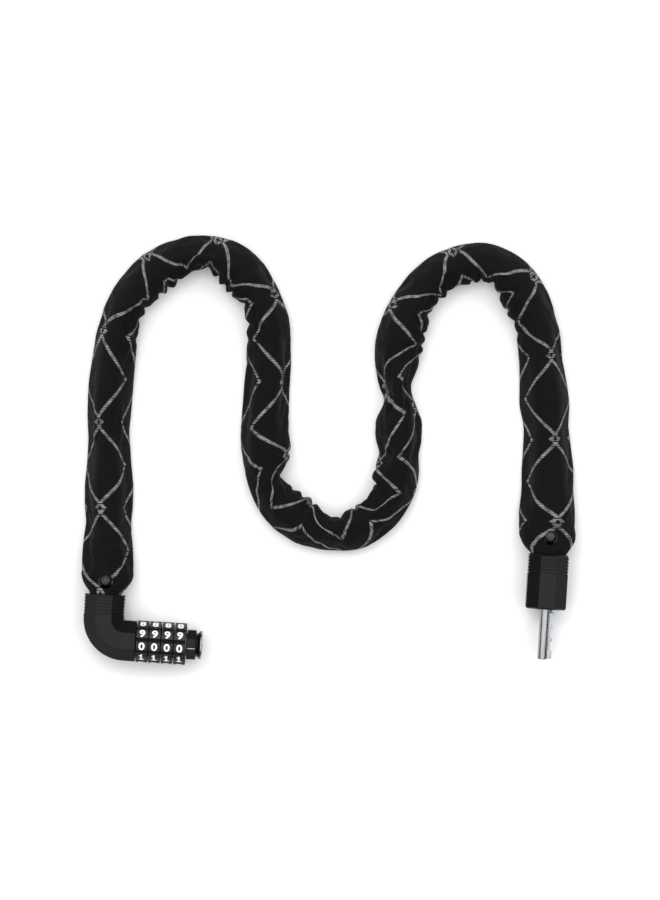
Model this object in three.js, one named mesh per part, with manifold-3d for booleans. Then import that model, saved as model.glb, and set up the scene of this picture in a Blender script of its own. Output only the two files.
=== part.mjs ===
// Chain lock with a four-dial combination head, lying flat in an open double bend.
// A steel chain runs inside a woven sleeve from the lock head to the pin head.
// Millimetres, +Z up, resting on Z = 0. The barrel of the lock head points along +X and the
// pin along -Y. The origin is the middle of the two heads' footprint.

import * as THREE from 'three';
import { mergeVertices } from 'three/addons/utils/BufferGeometryUtils.js';
import Module from 'manifold-3d';

const wasm = await Module();
wasm.setup();

// ---------------------------------------------------------------- driving sizes

const FIT = 0.3;                   // gap between neighbouring pieces

// where the two heads lie
const LOCK_CORNER = { x: -121.0, y: -25.2 };   // neck axis meets barrel axis
const PIN_HEAD_TOP = { x: 121.0, y: 36.7 };    // middle of the pin collar's mouth

// both heads
const NECK_PLAY = 2.1;             // between an end link's side and the bore that takes it
const NECK_END_PLAY = 1;           // between the end link and the bottom of its bore
const NECK_WALL = 1.7;             // least wall of the neck and of the pin collar
const RING_GROOVE_PITCH = 1.8;
const RING_GROOVE_WIDTH = 0.7;
const RING_GROOVE_DEPTH = 0.45;
const RING_GROOVES = 6;
const ANCHOR_PIN_DIAMETER = 4;
const KEY_PIN_DIAMETER = 2;

// lock head
const NECK_LENGTH = 24.5;          // corner to mouth
const ELBOW_RADIUS = 12;           // of the axis
const SHOULDER = 18.3;             // corner to the face behind the first dial
const LOCK_ANCHOR_DEPTH = 7.2;     // mouth to the anchor pin
const CORE_TAIL = 11;              // length of the core tube inside the elbow
const SPRING_POCKET_DEPTH = 6;
const SPRING_POCKET_DIAMETER = 14;
const SPRING_WIRE = 0.9;
const SPRING_TURNS = 3.5;

// dials
const DIAL_COUNT = 4;
const DIAL_DIAMETER = 23;
const DIAL_WALL = 3.1;
const DIAL_WIDTH = 6.3;
const DIAL_GAP = 0.6;
const DIAL_PADS = 10;
const DIAL_GROOVE_DEPTH = 1.2;
const DIAL_GROOVE_ANGLE = 11;      // degrees, at the rim
const DIAL_ROLL = 11;              // degrees that the shown row leans from straight up
const CODE_RING_WIDTH = 4.6;
const CORE_WALL = 0.7;

// nose of the barrel
const END_COLLAR_INSET = 0.1;      // of its flats, inside the code rings' outer size
const END_COLLAR_LENGTH = 4.9;
const SPIGOT_DIAMETER = 12;
const SPIGOT_LENGTH = 2;
const NOSE_DIAMETER = 15.8;
const NOSE_DISC = 1.9;
const NOSE_GROOVE = 1.2;           // length of the waist behind the disc
const NOSE_WAIST = 13;

// pin head
const COLLAR_LENGTH = 30.2;
const COLLAR_CHAMFER = 0.8;
const PIN_ANCHOR_DEPTH = 5.3;
const ROD_DIAMETER = 5.6;
const ROD_REACH = 27.7;            // collar to tip
const ROD_CHAMFER = 0.7;
const ROD_HEAD_DIAMETER = 12;
const ROD_HEAD_THICKNESS = 2;
const TOOTH_REACH = 2;             // beyond the rod
const TOOTH_THICKNESS = 3;
const TOOTH_LENGTH = 2;
const TIP_TOOTH_LENGTH = 4.6;
const TOOTH_COUNT = 4;

// chain
const WIRE = 3;
const LINK_PLAY = 1.45;            // spare room beside the next link's wire in the tightest bend
const LINK_END_PLAY = 0.5;         // the same at the link's ends
const TIGHTEST_TURN = 36;          // degrees that one link turns against the next there
const LINK_COUNT = 33;             // odd, so that both end links lie flat

// sleeve and its rivets
const SLEEVE_SIDE_PLAY = 4.2;      // between a flat link's side and the sleeve
const SLEEVE_TOP_PLAY = 0.2;       // between an upright link and the pinched sleeve
const SLEEVE_WALL = 1.1;
const SLEEVE_START = 3;            // sleeve's end above a mouth
const SLEEVE_SIDES = 12;
const SLEEVE_STEPS = 64;
const PINCH_WIDTH = 0.85;
const PINCH_FLAT = 13;             // length of the pinched end
const PINCH_END = 24;              // where the sleeve is at its full size again
const RIVET_SHANK = 2.6;
const RIVET_HEAD = 9.7;
const RIVET_DOME = 2.2;

// route of the sleeve's middle between the two mouths, seen from above
const ROUTE = [
  [-121.3, 18], [-122, 36], [-123.2, 56], [-124.6, 78], [-125.8, 100], [-125.6, 122],
  [-123, 145], [-117.4, 162], [-109, 174.5], [-97.5, 183.5], [-84, 188.5], [-70, 188],
  [-57.5, 181.8], [-48.5, 171], [-42, 155], [-39.4, 136], [-39.4, 115], [-39.6, 94],
  [-37.6, 77], [-31.6, 61], [-20, 48.6], [-4, 42.8], [13, 44.2], [26, 53.2], [33.4, 68],
  [35.1, 88], [33.6, 110], [31.4, 130], [31.2, 148], [35.2, 164], [43.6, 178.4],
  [56, 189], [71, 194], [86.5, 190.6], [98.6, 179.6], [107, 162], [112, 139],
  [115.6, 113], [118.4, 86], [120.4, 60],
];

// ---------------------------------------------------------------- derived places

const turn = THREE.MathUtils.degToRad(TIGHTEST_TURN);
const TURNED_WIRE = WIRE * (Math.cos(turn) + Math.sin(turn));
const LINK_SLACK = TURNED_WIRE - WIRE + LINK_END_PLAY;    // inner length beyond the pitch
const LINK_GAP = TURNED_WIRE + (LINK_SLACK + WIRE) * Math.sin(turn) + LINK_PLAY;  // clear width
const LINK_WIDTH = LINK_GAP + 2 * WIRE;
const NECK_BORE = LINK_WIDTH + 2 * NECK_PLAY;
const BELOW_ANCHOR = LINK_WIDTH / 2 + NECK_END_PLAY;      // anchor pin to the bottom of the bore
const LOCK_BORE_DEPTH = LOCK_ANCHOR_DEPTH + BELOW_ANCHOR;
const PIN_BORE_DEPTH = PIN_ANCHOR_DEPTH + BELOW_ANCHOR + ROD_HEAD_THICKNESS + FIT;
const HEAD_FLATS = NECK_BORE + 2 * NECK_WALL;  // octagon of both heads, across flats
const AXIS_HEIGHT = Math.max(DIAL_DIAMETER, HEAD_FLATS) / 2;   // everything lies on the ground
const SLEEVE_HEIGHT = 2 * AXIS_HEIGHT;
const SLEEVE_WIDTH = LINK_WIDTH + 2 * (SLEEVE_SIDE_PLAY + SLEEVE_WALL);
const PINCH_HEIGHT = (LINK_WIDTH / 2 + SLEEVE_TOP_PLAY + SLEEVE_WALL) / (SLEEVE_HEIGHT / 2);
const CODE_RING_DIAMETER = DIAL_DIAMETER - 2 * (DIAL_WALL + FIT);
const END_COLLAR_FLATS = CODE_RING_DIAMETER - 2 * END_COLLAR_INSET;
const DIAL_PITCH = DIAL_WIDTH + DIAL_GAP;
const FIRST_DIAL = SHOULDER + DIAL_GAP;
const END_COLLAR_START = FIRST_DIAL + DIAL_COUNT * DIAL_PITCH;
const NOSE_START = END_COLLAR_START + END_COLLAR_LENGTH + FIT;
const NOSE_END = NOSE_START + NOSE_GROOVE + NOSE_DISC;
const CORE_BORE = ROD_DIAMETER + 2 * FIT;
const CORE_DIAMETER = CORE_BORE + 2 * CORE_WALL;
const CORE_HOLE = CORE_DIAMETER + 2 * FIT;     // hole of whatever the core tube passes through
const TOOTH_TIP = ROD_DIAMETER / 2 + TOOTH_REACH;
const SLOT_WIDTH = TOOTH_THICKNESS + 2 * FIT;
const SLOT_DEPTH = TOOTH_TIP + FIT;            // from the barrel's axis
const LOCK_MOUTH_Y = LOCK_CORNER.y + NECK_LENGTH;
const LOCK_ANCHOR_Y = LOCK_MOUTH_Y - LOCK_ANCHOR_DEPTH;
const PIN_ANCHOR_Y = PIN_HEAD_TOP.y - PIN_ANCHOR_DEPTH;
const TAU = 2 * Math.PI;
const RIGHT_ANGLE = Math.PI / 2;

// ---------------------------------------------------------------- materials and helpers

const finish = (color, roughness, metalness) => ({ color, roughness, metalness });
const BLACK_NYLON = finish(0x1a1b1d, 0.5, 0);
const BLACK_PLASTIC = finish(0x232426, 0.45, 0);
const DIAL_PLASTIC = finish(0x2e2f32, 0.5, 0);
const FABRIC = finish(0x141414, 0.9, 0);
const STEEL = finish(0xc9ccd0, 0.3, 1);
const HARDENED_STEEL = finish(0x8b8e92, 0.4, 1);
const BRASS = finish(0xb69a5a, 0.35, 1);
const NICKEL = finish(0x9fa3a8, 0.25, 1);

function piece(name, geometry, look) {
  const mesh = new THREE.Mesh(geometry, new THREE.MeshStandardMaterial(look));
  mesh.name = name;
  return mesh;
}

// three.js geometry to a solid that can be cut and joined
function solid(geometry) {
  const bare = geometry.clone();
  bare.deleteAttribute('normal');
  bare.deleteAttribute('uv');
  const merged = mergeVertices(bare, 1e-4);
  const corners = merged.index.array;
  const kept = [];
  for (let i = 0; i < corners.length; i += 3) {
    const [a, b, c] = [corners[i], corners[i + 1], corners[i + 2]];
    if (a !== b && b !== c && c !== a) kept.push(a, b, c);
  }
  return new wasm.Manifold(new wasm.Mesh({
    numProp: 3,
    vertProperties: new Float32Array(merged.attributes.position.array),
    triVerts: new Uint32Array(kept),
  }));
}

function geometryOf(shape) {
  const mesh = shape.getMesh();
  const geometry = new THREE.BufferGeometry();
  geometry.setAttribute('position', new THREE.BufferAttribute(mesh.vertProperties, 3));
  geometry.setIndex(new THREE.BufferAttribute(mesh.triVerts, 1));
  geometry.computeVertexNormals();
  return geometry;
}

// round bar standing along Z, X or Y, from low to high along its axis
function bar(diameter, low, high, axis = 'z', sides = 24) {
  const geometry = new THREE.CylinderGeometry(diameter / 2, diameter / 2, high - low, sides);
  geometry.translate(0, (low + high) / 2, 0);
  if (axis === 'x') geometry.rotateZ(-RIGHT_ANGLE);
  if (axis === 'z') geometry.rotateX(RIGHT_ANGLE);
  return geometry;
}

function octagon(flats) {
  const shape = new THREE.Shape();
  const radius = flats / 2 / Math.cos(Math.PI / 8);
  for (let i = 0; i < 8; i += 1) {
    const angle = (i + 0.5) * TAU / 8;
    const point = [radius * Math.cos(angle), radius * Math.sin(angle)];
    if (i === 0) shape.moveTo(...point);
    else shape.lineTo(...point);
  }
  return shape;
}

// outline drawn looking along the axis, pushed out from low to high along X or Y
function pushed(shape, low, high, axis, bevel = 0, curveSegments = 6) {
  const geometry = new THREE.ExtrudeGeometry(shape, {
    depth: high - low - 2 * bevel, curveSegments, steps: 1,
    bevelEnabled: bevel > 0, bevelThickness: bevel, bevelSize: bevel,
    bevelOffset: -bevel, bevelSegments: 1,
  });
  geometry.translate(0, 0, low + bevel);
  if (axis === 'x') geometry.rotateY(RIGHT_ANGLE).rotateX(RIGHT_ANGLE);
  if (axis === 'y') geometry.rotateX(-RIGHT_ANGLE);
  return geometry;
}

// fine rings cut round an octagonal neck, stacked down from the mouth along Y
function cutRingGrooves(body, mouthY) {
  let cut = body;
  for (let i = 0; i < RING_GROOVES; i += 1) {
    const top = mouthY - (i + 0.5) * RING_GROOVE_PITCH;
    const outside = solid(pushed(octagon(HEAD_FLATS + 1), top - RING_GROOVE_WIDTH, top, 'y'));
    const inside = solid(pushed(octagon(HEAD_FLATS - 2 * RING_GROOVE_DEPTH),
      top - 2 * RING_GROOVE_WIDTH, top + RING_GROOVE_WIDTH, 'y'));
    cut = cut.subtract(outside.subtract(inside));
  }
  return cut;
}

// the upright pin that a chain end hangs on: blind above, open below
const ANCHOR_LOW = -HEAD_FLATS / 2 + FIT;
const ANCHOR_HIGH = HEAD_FLATS / 2 - 1;

function anchorHole(y) {
  const hole = bar(ANCHOR_PIN_DIAMETER + 2 * FIT, -HEAD_FLATS, ANCHOR_HIGH + FIT, 'z', 16);
  return solid(hole.translate(0, y, 0));
}

function anchorPin(name, y) {
  const pin = bar(ANCHOR_PIN_DIAMETER, ANCHOR_LOW, ANCHOR_HIGH, 'z', 16);
  return piece(name, pin.translate(0, y, 0), HARDENED_STEEL);
}

// ---------------------------------------------------------------- lock head (corner at its origin)

const lockHead = new THREE.Group();
lockHead.position.set(LOCK_CORNER.x, LOCK_CORNER.y, AXIS_HEIGHT);

// hole or slot outline round the barrel's axis; the tooth slot opens downwards
function slottedHole(radius, slotDepth) {
  const half = Math.asin(SLOT_WIDTH / 2 / radius);
  const hole = new THREE.Path();
  hole.absarc(0, 0, radius, -RIGHT_ANGLE + half, 1.5 * Math.PI - half, false);
  hole.lineTo(-SLOT_WIDTH / 2, -slotDepth);
  hole.lineTo(SLOT_WIDTH / 2, -slotDepth);
  hole.closePath();
  return hole;
}

// elbow casting with its neck bore, spring pocket and core socket
class ElbowAxis extends THREE.Curve {
  getPoint(t, target = new THREE.Vector3()) {
    const neck = NECK_LENGTH - ELBOW_RADIUS;
    const arc = ELBOW_RADIUS * RIGHT_ANGLE;
    const barrel = SHOULDER - ELBOW_RADIUS;
    const along = t * (neck + arc + barrel);
    if (along <= neck) return target.set(0, NECK_LENGTH - along, 0);
    if (along >= neck + arc) return target.set(ELBOW_RADIUS + along - neck - arc, 0, 0);
    const turn = (along - neck) / ELBOW_RADIUS;
    return target.set(
      ELBOW_RADIUS * (1 - Math.cos(turn)), ELBOW_RADIUS * (1 - Math.sin(turn)), 0);
  }
}

const ELBOW_STEPS = 24;
const ANCHOR_Y = NECK_LENGTH - LOCK_ANCHOR_DEPTH;
const CORE_START = SHOULDER - CORE_TAIL;
const KEY_PIN_X = CORE_START + 2.5;

let lockBody = solid(new THREE.ExtrudeGeometry(octagon(HEAD_FLATS), {
  steps: ELBOW_STEPS, bevelEnabled: false, extrudePath: new ElbowAxis(),
}));
lockBody = lockBody
  .subtract(solid(bar(NECK_BORE, NECK_LENGTH - LOCK_BORE_DEPTH, NECK_LENGTH + 1, 'y', 28)))
  .subtract(solid(bar(CORE_HOLE, CORE_START - FIT, SHOULDER + 1, 'x')))
  .subtract(solid(bar(SPRING_POCKET_DIAMETER, SHOULDER - SPRING_POCKET_DEPTH, SHOULDER + 1, 'x')))
  .subtract(solid(bar(KEY_PIN_DIAMETER + 2 * FIT, -HEAD_FLATS, 0, 'z', 12)
    .translate(KEY_PIN_X, 0, 0)))
  .subtract(anchorHole(ANCHOR_Y));
lockHead.add(piece('lock_body', geometryOf(cutRingGrooves(lockBody, NECK_LENGTH)), BLACK_NYLON));
lockHead.add(anchorPin('lock_anchor_pin', ANCHOR_Y));

// slotted core tube that guides the pin, and the small pin that keys it into the elbow
const coreOutline = new THREE.Shape();
const outerSlot = Math.asin(SLOT_WIDTH / CORE_DIAMETER);
const innerSlot = Math.asin(SLOT_WIDTH / CORE_BORE);
coreOutline.absarc(0, 0, CORE_DIAMETER / 2, -RIGHT_ANGLE + outerSlot, 1.5 * Math.PI - outerSlot, false);
coreOutline.absarc(0, 0, CORE_BORE / 2, 1.5 * Math.PI - innerSlot, -RIGHT_ANGLE + innerSlot, true);
const CORE_END = END_COLLAR_START + END_COLLAR_LENGTH - SPIGOT_LENGTH - FIT;
lockHead.add(piece('core_tube', pushed(coreOutline, CORE_START, CORE_END, 'x', 0, 14), BRASS));
lockHead.add(piece('core_key_pin', bar(KEY_PIN_DIAMETER, -HEAD_FLATS / 2 + FIT,
  -CORE_BORE / 2 - FIT, 'z', 12).translate(KEY_PIN_X, 0, 0), HARDENED_STEEL));

// spring that pushes the code rings towards the nose
class Helix extends THREE.Curve {
  constructor(radius, start, length, turns) {
    super();
    Object.assign(this, { radius, start, length, turns });
  }

  getPoint(t, target = new THREE.Vector3()) {
    const angle = t * this.turns * TAU;
    return target.set(this.start + t * this.length,
      this.radius * Math.cos(angle), this.radius * Math.sin(angle));
  }
}

const FIRST_CODE_RING = FIRST_DIAL + (DIAL_WIDTH - CODE_RING_WIDTH) / 2;
const springStart = SHOULDER - SPRING_POCKET_DEPTH + SPRING_WIRE / 2 + FIT;
const springLength = FIRST_CODE_RING - FIT - SPRING_WIRE / 2 - springStart;
const springRadius = (CORE_HOLE + SPRING_POCKET_DIAMETER) / 4;
const wireOutline = new THREE.Shape();
wireOutline.absarc(0, 0, SPRING_WIRE / 2, 0, TAU, false);
lockHead.add(piece('reset_spring', new THREE.ExtrudeGeometry(wireOutline, {
  steps: 36, curveSegments: 3, bevelEnabled: false,
  extrudePath: new Helix(springRadius, springStart, springLength, SPRING_TURNS),
}), STEEL));

// dials with ten finger pads, each on a notched code ring; digit 0 faces up at rest
function dialOutline() {
  const shape = new THREE.Shape();
  const rim = DIAL_DIAMETER / 2;
  const floor = rim - DIAL_GROOVE_DEPTH;
  const pad = TAU / DIAL_PADS;
  const groove = THREE.MathUtils.degToRad(DIAL_GROOVE_ANGLE);
  const first = RIGHT_ANGLE + THREE.MathUtils.degToRad(DIAL_ROLL);
  for (let i = 0; i < DIAL_PADS; i += 1) {
    const middle = first + i * pad;
    const half = (pad - groove) / 2;
    for (const angle of [-half, -half / 3, half / 3, half]) {
      const point = [rim * Math.cos(middle + angle), rim * Math.sin(middle + angle)];
      if (i === 0 && angle === -half) shape.moveTo(...point);
      else shape.lineTo(...point);
    }
    for (const angle of [pad / 2 - groove / 5, pad / 2 + groove / 5]) {
      shape.lineTo(floor * Math.cos(middle + angle), floor * Math.sin(middle + angle));
    }
  }
  shape.closePath();
  const bore = new THREE.Path();
  bore.absarc(0, 0, CODE_RING_DIAMETER / 2 + FIT, 0, TAU, true);
  shape.holes.push(bore);
  return shape;
}

function codeRingOutline() {
  const shape = new THREE.Shape();
  shape.absarc(0, 0, CODE_RING_DIAMETER / 2, 0, TAU, false);
  shape.holes.push(slottedHole(CORE_HOLE / 2, SLOT_DEPTH));
  return shape;
}

for (let i = 0; i < DIAL_COUNT; i += 1) {
  const start = FIRST_DIAL + i * DIAL_PITCH;
  const ring = FIRST_CODE_RING + i * DIAL_PITCH;
  lockHead.add(piece(`dial_${i + 1}`,
    pushed(dialOutline(), start, start + DIAL_WIDTH, 'x', 0, 12), DIAL_PLASTIC));
  lockHead.add(piece(`code_ring_${i + 1}`,
    pushed(codeRingOutline(), ring, ring + CODE_RING_WIDTH, 'x', 0, 10), BRASS));
}

// wavy washer between the last code ring and the end collar
const WASHER_THICKNESS = 0.4;
const washerOutline = new THREE.Shape();
washerOutline.absarc(0, 0, CODE_RING_DIAMETER / 2 - 1, 0, TAU, false);
washerOutline.holes.push(new THREE.Path().absarc(0, 0, SLOT_DEPTH, 0, TAU, true));
const washerPlace = END_COLLAR_START - FIT - WASHER_THICKNESS;
lockHead.add(piece('wave_washer', pushed(
  washerOutline, washerPlace, washerPlace + WASHER_THICKNESS, 'x', 0, 10), STEEL));

// end collar with an index mark, and the reset ring snapped into it
const SPIGOT_HOLE = SPIGOT_DIAMETER + 2 * FIT;
const collarShape = octagon(END_COLLAR_FLATS);
collarShape.holes.push(slottedHole(CORE_HOLE / 2, SLOT_DEPTH));
const collarEnd = END_COLLAR_START + END_COLLAR_LENGTH;
const INDEX_WIDTH = 0.8;
const INDEX_DEPTH = 0.3;
const indexMark = new THREE.BoxGeometry(2 * END_COLLAR_LENGTH, INDEX_WIDTH, 2 * INDEX_DEPTH);
indexMark.translate(END_COLLAR_START + END_COLLAR_LENGTH / 2, -1.9, END_COLLAR_FLATS / 2);
lockHead.add(piece('end_collar', geometryOf(
  solid(pushed(collarShape, END_COLLAR_START, collarEnd, 'x', 0, 10))
    .subtract(solid(bar(SPIGOT_HOLE, collarEnd - SPIGOT_LENGTH - FIT, collarEnd + 1, 'x')))
    .subtract(solid(indexMark))), BLACK_PLASTIC));

const noseProfile = [
  [SLOT_DEPTH, NOSE_START - SPIGOT_LENGTH],
  [SPIGOT_DIAMETER / 2, NOSE_START - SPIGOT_LENGTH],
  [SPIGOT_DIAMETER / 2, NOSE_START],
  [NOSE_WAIST / 2 + 0.5, NOSE_START],
  [NOSE_WAIST / 2, NOSE_START + NOSE_GROOVE / 2],
  [NOSE_DIAMETER / 2, NOSE_START + NOSE_GROOVE],
  [NOSE_DIAMETER / 2, NOSE_END - 0.6],
  [NOSE_DIAMETER / 2 - 0.6, NOSE_END],
  [SLOT_DEPTH + 0.5, NOSE_END],
  [SLOT_DEPTH, NOSE_END - 0.5],
];
const nosePoints = [...noseProfile, noseProfile[0]].map(([r, x]) => new THREE.Vector2(r, x));
lockHead.add(piece('reset_ring',
  new THREE.LatheGeometry(nosePoints, 24).rotateZ(-RIGHT_ANGLE), NICKEL));

// ---------------------------------------------------------------- pin head (mouth at its origin)

const pinHead = new THREE.Group();
pinHead.position.set(PIN_HEAD_TOP.x, PIN_HEAD_TOP.y, AXIS_HEIGHT);

const ROD_HOLE = ROD_DIAMETER + 2 * FIT;
const PIN_KEY_Y = -COLLAR_LENGTH + 8;
const PIN_KEY_REACH = 5;
let pinShell = solid(pushed(octagon(HEAD_FLATS), -COLLAR_LENGTH, 0, 'y', COLLAR_CHAMFER));
pinShell = pinShell
  .subtract(solid(bar(NECK_BORE, -PIN_BORE_DEPTH, 1, 'y', 28)))
  .subtract(solid(bar(ROD_HOLE, -COLLAR_LENGTH - 1, 0, 'y')))
  .subtract(solid(bar(KEY_PIN_DIAMETER + 2 * FIT, -HEAD_FLATS, PIN_KEY_REACH + FIT, 'z', 12)
    .translate(0, PIN_KEY_Y, 0)))
  .subtract(anchorHole(-PIN_ANCHOR_DEPTH));
pinHead.add(piece('pin_shell', geometryOf(cutRingGrooves(pinShell, 0)), BLACK_NYLON));
pinHead.add(anchorPin('pin_anchor_pin', -PIN_ANCHOR_DEPTH));
pinHead.add(piece('pin_key_pin', bar(KEY_PIN_DIAMETER, -HEAD_FLATS / 2 + FIT, PIN_KEY_REACH,
  'z', 12).translate(0, PIN_KEY_Y, 0), HARDENED_STEEL));

// toothed steel pin with a flange inside the shell
const tipY = -COLLAR_LENGTH - ROD_REACH;
const flangeY = -PIN_BORE_DEPTH + FIT;
const rod = ROD_DIAMETER / 2;
const rodProfile = [
  [0, tipY], [rod - ROD_CHAMFER, tipY], [rod, tipY + ROD_CHAMFER], [rod, flangeY],
  [ROD_HEAD_DIAMETER / 2, flangeY], [ROD_HEAD_DIAMETER / 2, flangeY + ROD_HEAD_THICKNESS],
  [0, flangeY + ROD_HEAD_THICKNESS],
];
let lockPin = solid(new THREE.LatheGeometry(rodProfile.map(([r, y]) => new THREE.Vector2(r, y)), 24));
function tooth(lowY, length) {
  const width = TOOTH_TIP - ROD_DIAMETER / 4;
  const block = new THREE.BoxGeometry(width, length, TOOTH_THICKNESS);
  return solid(block.translate(TOOTH_TIP - width / 2, lowY + length / 2, 0));
}
lockPin = lockPin.add(tooth(tipY + ROD_CHAMFER, TIP_TOOTH_LENGTH));
for (let i = 1; i < TOOTH_COUNT; i += 1) {
  const low = tipY + ROD_CHAMFER + TIP_TOOTH_LENGTH + i * DIAL_PITCH - TOOTH_LENGTH;
  lockPin = lockPin.add(tooth(low, TOOTH_LENGTH));
}
lockPin = lockPin.subtract(solid(
  bar(KEY_PIN_DIAMETER + 2 * FIT, -HEAD_FLATS, HEAD_FLATS, 'z', 12).translate(0, PIN_KEY_Y, 0)));
pinHead.add(piece('lock_pin', geometryOf(lockPin), STEEL));

// ---------------------------------------------------------------- chain, sleeve and rivets

const chain = new THREE.Group();
chain.position.z = AXIS_HEIGHT;

const flat = (x, y) => new THREE.Vector3(x, y, 0);
const sleeveStart = flat(LOCK_CORNER.x, LOCK_MOUTH_Y + SLEEVE_START);
const sleeveEnd = flat(PIN_HEAD_TOP.x, PIN_HEAD_TOP.y + SLEEVE_START);
const routePoints = ROUTE.map(([x, y]) => flat(x, y));
const sleeveRoute = new THREE.CatmullRomCurve3([sleeveStart, ...routePoints, sleeveEnd]);
const chainRoute = new THREE.CatmullRomCurve3([
  flat(LOCK_CORNER.x, LOCK_ANCHOR_Y), sleeveStart, ...routePoints, sleeveEnd,
  flat(PIN_HEAD_TOP.x, PIN_ANCHOR_Y),
]);
chainRoute.arcLengthDivisions = 1000;

// The pitch fills the route from anchor pin to anchor pin: the middle of each end link is half a
// pitch and half a slack, less the round of its hole, from its pin.
const chainLength = chainRoute.getLength();
const linkPitch = (chainLength - LINK_SLACK + LINK_GAP) / LINK_COUNT;
const linkInnerLength = linkPitch + LINK_SLACK;
const endLinkOffset = (linkInnerLength - LINK_GAP) / 2;
const onChain = (along) =>
  chainRoute.getPointAt(THREE.MathUtils.clamp(along / chainLength, 0, 1));

// links lie flat and stand upright by turns; each follows the chord of its own stretch
function linkGeometry() {
  const straight = (linkInnerLength - LINK_GAP) / 2;
  const stadium = (path, radius, clockwise) => {
    const turn = clockwise ? -1 : 1;
    path.absarc(straight, 0, radius, -turn * RIGHT_ANGLE, turn * RIGHT_ANGLE, clockwise);
    path.absarc(-straight, 0, radius, turn * RIGHT_ANGLE, turn * 3 * RIGHT_ANGLE, clockwise);
    return path;
  };
  const outline = stadium(new THREE.Shape(), LINK_WIDTH / 2, false);
  outline.holes.push(stadium(new THREE.Path(), LINK_GAP / 2, true));
  const geometry = new THREE.ExtrudeGeometry(outline, {
    depth: WIRE, curveSegments: 3, steps: 1, bevelEnabled: false,
  });
  return geometry.translate(0, 0, -WIRE / 2);
}

for (let i = 0; i < LINK_COUNT; i += 1) {
  const middle = endLinkOffset + i * linkPitch;
  const reach = i === 0 || i === LINK_COUNT - 1 ? endLinkOffset : linkPitch / 2;
  const from = onChain(middle - reach);
  const to = onChain(middle + reach);
  const link = piece(`link_${String(i + 1).padStart(2, '0')}`, linkGeometry(), HARDENED_STEEL);
  link.position.copy(from).add(to).multiplyScalar(0.5);
  link.rotation.order = 'ZXY';
  link.rotation.z = Math.atan2(to.y - from.y, to.x - from.x);
  link.rotation.x = i % 2 === 0 ? 0 : RIGHT_ANGLE;
  chain.add(link);
}

// hollow woven sleeve, drawn in where a rivet pinches it at each end
function ovalRing(path, width, height, clockwise) {
  for (let i = 0; i < SLEEVE_SIDES; i += 1) {
    const angle = (clockwise ? -1 : 1) * (i + 0.5) * TAU / SLEEVE_SIDES;
    const point = [height / 2 * Math.cos(angle), width / 2 * Math.sin(angle)];
    if (i === 0) path.moveTo(...point);
    else path.lineTo(...point);
  }
  path.closePath();
  return path;
}

const flatSide = Math.cos(Math.PI / SLEEVE_SIDES);   // the drawn height is across the flats
const sleeveOutline = ovalRing(new THREE.Shape(), SLEEVE_WIDTH, SLEEVE_HEIGHT / flatSide, false);
sleeveOutline.holes.push(ovalRing(new THREE.Path(), SLEEVE_WIDTH - 2 * SLEEVE_WALL,
  (SLEEVE_HEIGHT - 2 * SLEEVE_WALL) / flatSide, true));
const sleeveGeometry = new THREE.ExtrudeGeometry(sleeveOutline, {
  steps: SLEEVE_STEPS, bevelEnabled: false, extrudePath: sleeveRoute,
});

const spots = sleeveGeometry.attributes.position;
for (const end of [sleeveStart, sleeveEnd]) {
  for (let i = 0; i < spots.count; i += 1) {
    const fromEnd = spots.getY(i) - end.y;
    if (Math.abs(spots.getX(i) - end.x) > SLEEVE_WIDTH || fromEnd > PINCH_END) continue;
    const open = THREE.MathUtils.smoothstep(fromEnd, PINCH_FLAT, PINCH_END);
    const middleX = end.x;
    spots.setX(i, middleX + (spots.getX(i) - middleX) * THREE.MathUtils.lerp(PINCH_WIDTH, 1, open));
    spots.setZ(i, spots.getZ(i) * THREE.MathUtils.lerp(PINCH_HEIGHT, 1, open));
  }
}

// a rivet passes through the end link's hole, just short of the next link
const rivetFromAnchor = endLinkOffset + linkPitch - linkInnerLength / 2 - WIRE
  - RIVET_SHANK / 2 - 2 * FIT;
const rivetPlaces = {
  lock_rivet: flat(LOCK_CORNER.x, LOCK_ANCHOR_Y + rivetFromAnchor),
  pin_rivet: flat(PIN_HEAD_TOP.x, PIN_ANCHOR_Y + rivetFromAnchor),
};
const rivetSeat = SLEEVE_HEIGHT / 2 * PINCH_HEIGHT + FIT;
let sleeve = solid(sleeveGeometry);
for (const [name, place] of Object.entries(rivetPlaces)) {
  const hole = bar(RIVET_SHANK + 2 * FIT, -SLEEVE_HEIGHT, SLEEVE_HEIGHT, 'z', 12);
  sleeve = sleeve.subtract(solid(hole.translate(place.x, place.y, 0)));
  const dome = [[RIVET_HEAD / 2, 0], [RIVET_HEAD / 2 - 0.5, 0.9], [RIVET_HEAD / 3, 1.7],
    [RIVET_HEAD / 6, 2.1], [0, RIVET_DOME]];
  const profile = [
    [0, -rivetSeat - RIVET_DOME], ...dome.slice(0, -1).reverse().map(([r, z]) => [r, -rivetSeat - z]),
    [RIVET_SHANK / 2, -rivetSeat], [RIVET_SHANK / 2, rivetSeat],
    ...dome.map(([r, z]) => [r, rivetSeat + z]),
  ];
  const rivet = new THREE.LatheGeometry(profile.map(([r, z]) => new THREE.Vector2(r, z)), 12);
  chain.add(piece(name, rivet.rotateX(RIGHT_ANGLE).translate(place.x, place.y, 0), NICKEL));
}
chain.add(piece('sleeve', geometryOf(sleeve), FABRIC));

const chainLock = new THREE.Group();
chainLock.add(chain, lockHead, pinHead);
export default chainLock;
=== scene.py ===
# Chain lock, lying flat in an open double bend: the look of the part, built round its own frame.
import bpy
import bmesh
import math
import numpy as np
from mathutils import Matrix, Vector
from mathutils.bvhtree import BVHTree


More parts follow.
